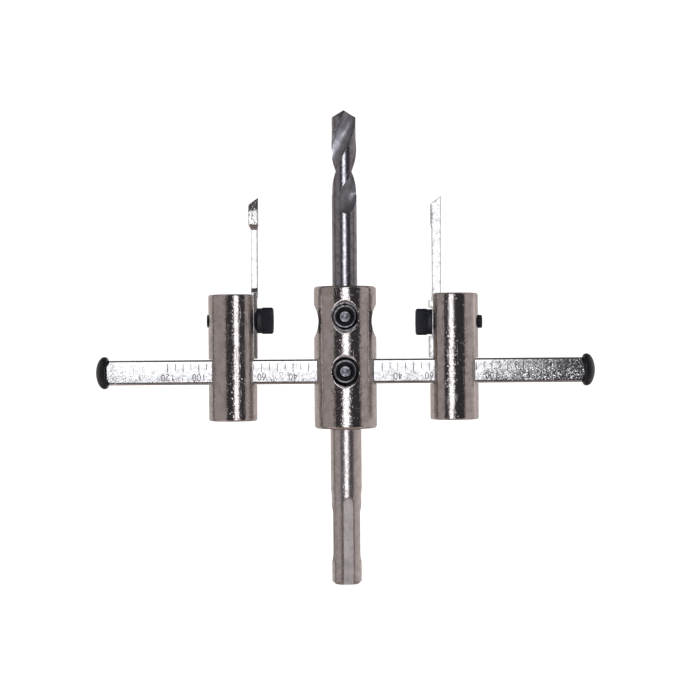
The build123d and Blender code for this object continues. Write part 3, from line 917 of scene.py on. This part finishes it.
@dataclass
class ScaleMarks:
    """The paint left in the bar's stamped ticks and numerals, all in millimetres.

    Args:
        first: Lowest diameter that has a tick.
        last: Highest one.
        step: Diameter between ticks.
        offset: From a holder's inner edge out to the cut circle.
        top: Upper end of the ticks above the bar's axis.
        long: Length of every second tick.
        short: Length of the others.
        tick_depth: Depth of the stamped ticks.
        tick_width: Width of their paint.
        tick_film: Thickness of their paint, which lies on their floor.
        tick_rest: Bare length at each end of a tick.
        numeral_height: Height of the numerals.
        numeral_y: Middle of the numerals above the bar's axis.
        numeral_advance: From one digit to the next.
        stroke: Width of a digit's strokes.
        film: Thickness of the numerals' paint, half of it above the face.
        labels: The diameters that are written.
        sides: Columns round a bead of paint.
    """

    first: float = 30.0
    last: float = 120.0
    step: float = 5.0
    offset: float = 3.3
    top: float = 2.8
    long: float = 2.8
    short: float = 2.1
    tick_depth: float = 0.12
    tick_width: float = 0.23
    tick_film: float = 0.06
    tick_rest: float = 0.04
    numeral_height: float = 2.05
    numeral_y: float = -1.6
    numeral_advance: float = 1.5
    stroke: float = 0.24
    film: float = 0.05
    labels: tuple[int, ...] = (40, 60, 80, 100, 120)
    sides: int = 12

    def bead(self, path: Array, width: float, level: float, thickness: float) -> Skin:
        """A flattened bead of paint along a flat path.

        Round the bead the angle runs a full turn: sideways it is half the width times the cosine, upwards
        half the thickness times the sine. Along the path both shrink to nothing at the ends as the
        root of one less the squared distance from where the end's rounding starts.

        Args:
            path: Points of the centre line, (n, 2), in the bar's face.
            width: Width of the bead.
            level: Height of its middle.
            thickness: Its thickness.

        Returns:
            Vertices and triangles.
        """
        step = np.linalg.norm(np.diff(path, axis=0), axis=1)
        way = np.concatenate([[0.0], np.cumsum(step)])
        total = way[-1]
        ends = np.array(BEAD_END) * width / 2
        inner = np.linspace(width / 2, total - width / 2, max(3, 4 * len(path)))
        along = np.unique(np.concatenate([ends, inner, total - ends]))
        along = along[np.minimum(along, total - along) > BEAD_POLE * width]
        x, y = (np.interp(along, way, path[:, i]) for i in range(2))
        slope_x, slope_y = np.gradient(x, along), np.gradient(y, along)
        length = np.hypot(slope_x, slope_y)
        side = np.stack([-slope_y / length, slope_x / length], -1)
        gap = np.clip(1 - np.minimum(along, total - along) / (width / 2), 0, 1)
        shrink = np.sqrt(1 - gap**2)[:, None]
        around = np.arange(self.sides) * 2 * math.pi / self.sides
        across = np.cos(around)[None] * width / 2 * shrink
        up = np.sin(around)[None] * thickness / 2 * shrink
        rings = np.stack(
            [x[:, None] + across * side[:, :1], y[:, None] + across * side[:, 1:], level + up], -1
        )
        return shell(rings, np.array([*path[0], level]), np.array([*path[-1], level]))

    def numeral(self, digit: str) -> list[Array]:
        """Centre lines of one digit, its arcs as half width times cosine and half height times sine.

        Args:
            digit: The digit.

        Returns:
            The points of each stroke, in a box one high.
        """
        paths = [np.array(line, float) for line in LINES.get(digit, [])]
        for cx, cy, rx, ry, start, stop in ARCS.get(digit, []):
            turn = np.radians(np.linspace(start, stop, 25))
            paths.append(np.stack([cx + rx * np.cos(turn), cy + ry * np.sin(turn)], -1))
        return paths

    def label(self, text: str, x: float) -> Iterable[Array]:
        """Paths of a number, turned half round so that it reads from the drill's end of the tool.

        Args:
            text: The digits.
            x: Middle of the number along the bar.

        Yields:
            The path of each stroke in the bar's face.
        """
        width = (len(text) - 1) * self.numeral_advance + DIGIT_WIDTH * self.numeral_height
        for index, digit in enumerate(text):
            left = index * self.numeral_advance - width / 2
            for path in self.numeral(digit):
                right = left + path[:, 0] * self.numeral_height
                up = (path[:, 1] - 0.5) * self.numeral_height
                yield np.stack([x - right, self.numeral_y - up], -1)

    def build(self, wardrobe: Wardrobe) -> None:
        """Fill the ticks and numerals of both sides with paint.

        Args:
            wardrobe: Where the paint comes from.
        """
        middle, size = box_mm("scale_bar")
        face = size[2] / 2
        floor = face - self.tick_depth
        diameters = np.arange(self.first, self.last + 1, self.step)
        for side in Side:
            beads = []
            for index, diameter in enumerate(diameters):
                x = side.value * (diameter / 2 - self.offset)
                low = self.top - (self.long if index % 2 == 0 else self.short)
                path = np.array([(x, self.top - self.tick_rest), (x, low + self.tick_rest)])
                beads.append(self.bead(path, self.tick_width, floor + self.tick_film / 2, self.tick_film))
            for value in self.labels:
                x = side.value * (value / 2 - self.offset)
                for path in self.label(str(value), x):
                    beads.append(self.bead(path, self.stroke, face, self.film))
            points, faces = join_skins(beads)
            name = f"scale_marks_{side.name.lower()}"
            piece = make_piece(name, points + middle, faces, "hub_and_bar", 60.0)
            wardrobe.dress(piece, SCALE_PAINT)


class Screws:
    """All six screws, each where its CAD node is."""

    def build(self, wardrobe: Wardrobe) -> None:
        """Make the two M8 set screws that face up out of the hub, then each holder's two screws.

        A holder's M5 cap screw has its head on the side that faces the hub. Its M6 set screw stands in the
        lower end and presses up on the bar.

        Args:
            wardrobe: Where their finish comes from.
        """
        for node, body in (("drill_set_screw", "drill_screw"), ("bar_set_screw", "bar_screw")):
            Screw(
                node, body, Axis.UP, radius=4.0, pitch=1.25, point_radius=2.5, point_height=1.5,
                top_chamfer=0.9, key=4.0, socket_depth=3.0,
            ).build(wardrobe)
        for side in Side:
            word = side.name.lower()
            CapScrew(
                f"{word}_clamp_screw", f"{word}_clamp", Axis.RIGHT if side is Side.LEFT else Axis.LEFT,
                radius=2.5, pitch=0.8, point_radius=2.1, point_height=0.4, top_chamfer=-1.0, key=4.0,
                socket_depth=2.6,
            ).build(wardrobe)
            Screw(
                f"{word}_lock_screw", f"{word}_lock", Axis.TOWARDS_SHANK, radius=3.0, pitch=1.0,
                point_radius=2.0, point_height=1.0, top_chamfer=0.6, key=3.0, socket_depth=3.5,
            ).build(wardrobe)


@dataclass
class SoftBox:
    """A rectangular light whose brightness falls off softly towards its edges.

    Args:
        name: The light's name.
        place: Its middle in millimetres, its height counted from the tool's axis.
        size: Its width and height in millimetres.
        radiance: Brightness of its middle.
        edge: Shares of its half width and half height over which it fades.
        turn: Its rotation about X, Y and Z in degrees; unturned it shines down.
        colour: Its colour.
        only: The pieces that it lights, or all if there are none.
        leaves_out: The pieces that it doesn't light.
    """

    name: str
    place: Triple
    size: tuple[float, float]
    radiance: float
    edge: tuple[float, float]
    turn: Triple = (0.0, 0.0, 0.0)
    colour: str = LAMP_WHITE
    only: tuple[Piece, ...] = ()
    leaves_out: tuple[Piece, ...] = ()

    def flag(self, light: Piece) -> None:
        """Hold the light back from some pieces, as a photographer's flag does.

        Args:
            light: The light's object.
        """
        group = bpy.data.collections.new(self.name + "_flag")
        for piece in self.only + self.leaves_out:
            group.objects.link(piece)
        for item in group.collection_objects:
            item.light_linking.link_state = "INCLUDE" if self.only else "EXCLUDE"
        light.light_linking.receiver_collection = group

    def build(self) -> None:
        """Make the light.

        A light of radiance L and area A gives pi times L times A watts. Its brightness at a point is that
        times one smooth step of the distance to the nearer edge across and one of that along.
        """
        width, height = self.size
        lamp = bpy.data.lights.new(self.name, "AREA")
        lamp.shape = "RECTANGLE"
        lamp.size, lamp.size_y = width * MM, height * MM
        lamp.energy = math.pi * self.radiance * width * height * MM * MM
        lamp.color = linear(self.colour)[:3]
        lamp.use_nodes = True
        tree = lamp.node_tree
        across = add(tree, "ShaderNodeNewGeometry").outputs["Parametric"]
        parts = add(tree, "ShaderNodeSeparateXYZ", {"Vector": across}).outputs
        fall: Any = 1.0
        for part, edge in zip("XY", self.edge):
            centred = add(
                tree, "ShaderNodeMath", {0: parts[part], 1: 0.5}, operation="SUBTRACT"
            ).outputs["Value"]
            distance = add(tree, "ShaderNodeMath", {0: centred}, operation="ABSOLUTE").outputs["Value"]
            share = add(
                tree, "ShaderNodeMapRange",
                {"Value": distance, "From Min": 0.5, "From Max": 0.5 - edge / 2},
                interpolation_type="SMOOTHSTEP",
            ).outputs["Result"]
            fall = add(tree, "ShaderNodeMath", {0: fall, 1: share}, operation="MULTIPLY").outputs["Value"]
        tree.links.new(fall, tree.nodes["Emission"].inputs["Strength"])
        light = bpy.data.objects.new(self.name, lamp)
        x, y, up = self.place
        light.location = (x * MM, y * MM, (AXIS_HEIGHT_MM + up) * MM)
        light.rotation_euler = tuple(math.radians(value) for value in self.turn)
        light.visible_camera = False
        bpy.context.scene.collection.objects.link(light)
        if self.only or self.leaves_out:
            self.flag(light)


@dataclass
class Studio:
    """The pale table, the boxes and cards round it, and the camera straight above, in millimetres.

    Args:
        flats: The bar and the blades, whose flat faces have a soft box of their own.
        drill: The drill, whose dark steel has a strip light and a flute light of its own.
        camera_height: From the tool's axis to the camera.
        view_width: What the image shows across, in the plane of the tool's axis.
        view_middle: Middle of the image in the row frame.
        roll: Turn of the camera about its own axis, in degrees.
        floor_size: Side of the square floor.
        floor_colour: Colour of the floor.
        floor_glow: Light that the floor gives off, so that shadows stay pale.
        dark: Radiance of the room above the table.
        low: Radiance just under the table's edge.
        below: Radiance seen in place of the table by reflections.
        far: Radiance of the wall that the drill points at.
        near: Radiance of the wall that the shank points at.
    """

    flats: tuple[Piece, ...]
    drill: Piece
    camera_height: float = 640.0
    view_width: float = 224.35
    view_middle: tuple[float, float] = (1.5, -1.02)
    roll: float = -0.45
    floor_size: float = 3000.0
    floor_colour: str = "#f6f5f3"
    floor_glow: float = 1.05
    dark: str = "#3a383c"
    low: str = "#5c5653"
    below: str = "#c8c2c0"
    far: str = "#565355"
    near: str = "#7a6d66"

    def lights(self) -> list[SoftBox]:
        """Boxes for the round pieces, the flat ones, the drill and its flutes, and three grey cards.

        Returns:
            The lights.
        """
        boxes = [
            SoftBox("round_box", (4.5, 0.0, 111.0), (56.0, 330.0), 2.3, (0.6, 0.6), leaves_out=self.flats),
            SoftBox("flat_box", (-26.0, 127.0, 300.0), (247.0, 310.0), 2.2, (0.3, 0.142), only=self.flats),
            SoftBox("drill_strip", (-7.0, 60.0, 112.0), (54.0, 160.0), 1.7, (0.6, 0.3), only=(self.drill,)),
            SoftBox(
                "flute_box", (150.0, -260.0, 250.0), (240.0, 240.0), 9.0, (0.3, 0.3),
                (48.5, 31.0, 0.0), "#f4f6ff", only=(self.drill,),
            ),
        ]
        for name, place, size, radiance, fade, turn in (
            ("left_card", (-95.0, 0.0, 54.0), (115.0, 420.0), 0.41, 0.04, (0.0, -90.0, 0.0)),
            ("right_card", (130.0, 0.0, 22.0), (126.0, 420.0), 0.49, 0.04, (0.0, 90.0, 0.0)),
            ("shank_card", (0.0, -190.0, 45.0), (420.0, 110.0), 0.28, 0.1, (90.0, 0.0, 0.0)),
        ):
            boxes.append(SoftBox(name, place, size, radiance, (fade, fade), turn, CARD_GREY))
        return boxes

    def world(self) -> None:
        """A dim room: dark above the table, brown-grey at its edge, pale grey below, two walls.

        Each row of steps names a part of the direction, where a smooth step on it starts and ends, and the
        colour that it leads to. The first two go down past the horizon, the others out to the two walls.
        """
        world = bpy.data.worlds.new("studio_room")
        world.use_nodes = True
        tree = world.node_tree
        way = add(tree, "ShaderNodeTexCoord").outputs["Generated"]
        parts = add(tree, "ShaderNodeSeparateXYZ", {"Vector": way}).outputs
        steps = [
            ("Z", 0.02, -0.06, self.low), ("Z", -0.24, -0.42, self.below),
            ("Y", 0.45, 0.70, self.far), ("Y", -0.45, -0.70, self.near),
        ]
        colour: Any = linear(self.dark)
        for part, start, end, target in steps:
            share = add(
                tree, "ShaderNodeMapRange", {"Value": parts[part], "From Min": start, "From Max": end},
                interpolation_type="SMOOTHSTEP",
            ).outputs["Result"]
            colour = add(
                tree, "ShaderNodeMix", {"Factor": share, "A": colour, "B": linear(target)},
                data_type="RGBA",
            ).outputs["Result"]
        tree.links.new(colour, tree.nodes["Background"].inputs["Color"])
        bpy.context.scene.world = world

    def floor(self) -> None:
        """A square table top at height zero, lit a little from inside so that shadows stay pale."""
        half = self.floor_size / 2 * MM
        corners = [(-half, -half, 0), (half, -half, 0), (half, half, 0), (-half, half, 0)]
        mesh = bpy.data.meshes.new("table_top")
        mesh.from_pydata(corners, [], [(0, 1, 2, 3)])
        table = bpy.data.objects.new("table_top", mesh)
        bpy.context.scene.collection.objects.link(table)
        material = bpy.data.materials.new("white_acrylic_sheet")
        material.use_nodes = True
        shader = material.node_tree.nodes["Principled BSDF"].inputs
        shader["Base Color"].default_value = linear(self.floor_colour)
        shader["Roughness"].default_value = 0.8
        shader["Emission Color"].default_value = linear(self.floor_colour)
        shader["Emission Strength"].default_value = self.floor_glow
        mesh.materials.append(material)
        table.visible_glossy = False

    def camera(self) -> None:
        """Camera straight above, its lens from sensor width times height over view width."""
        lens = bpy.data.cameras.new("camera")
        lens.sensor_width = SENSOR_MM
        lens.lens = SENSOR_MM * self.camera_height / self.view_width
        lens.clip_start, lens.clip_end = 0.01, 20.0
        camera = bpy.data.objects.new("camera", lens)
        x, y = self.view_middle
        camera.location = (x * MM, y * MM, (AXIS_HEIGHT_MM + self.camera_height) * MM)
        camera.rotation_euler = (0.0, 0.0, math.radians(self.roll))
        bpy.context.scene.collection.objects.link(camera)
        bpy.context.scene.camera = camera

    def build(self) -> None:
        """Set up floor, room, lights and camera."""
        self.floor()
        self.world()
        lights = self.lights()
        for light in lights:
            light.build()
        self.camera()
        bpy.context.scene.view_settings.view_transform = "Standard"
        LOG.info("studio: %d soft boxes", len(lights))


def main() -> None:
    """Load the frame, dress it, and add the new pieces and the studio."""
    logging.basicConfig(level=logging.INFO, format="%(name)s: %(message)s")
    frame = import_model()
    nodes = frame["nodes"]
    wardrobe = Wardrobe()
    for node, finish in CAD_FINISHES.items():
        wardrobe.dress(nodes[node], finish)
        LOG.info("%s: %s", node, finish.name)
    Screws().build(wardrobe)
    ScaleMarks().build(wardrobe)
    Studio(
        flats=tuple(nodes[name] for name in ("scale_bar", "left_blade", "right_blade")),
        drill=nodes["pilot_drill"],
    ).build()


if __name__ == "__main__":
    main()
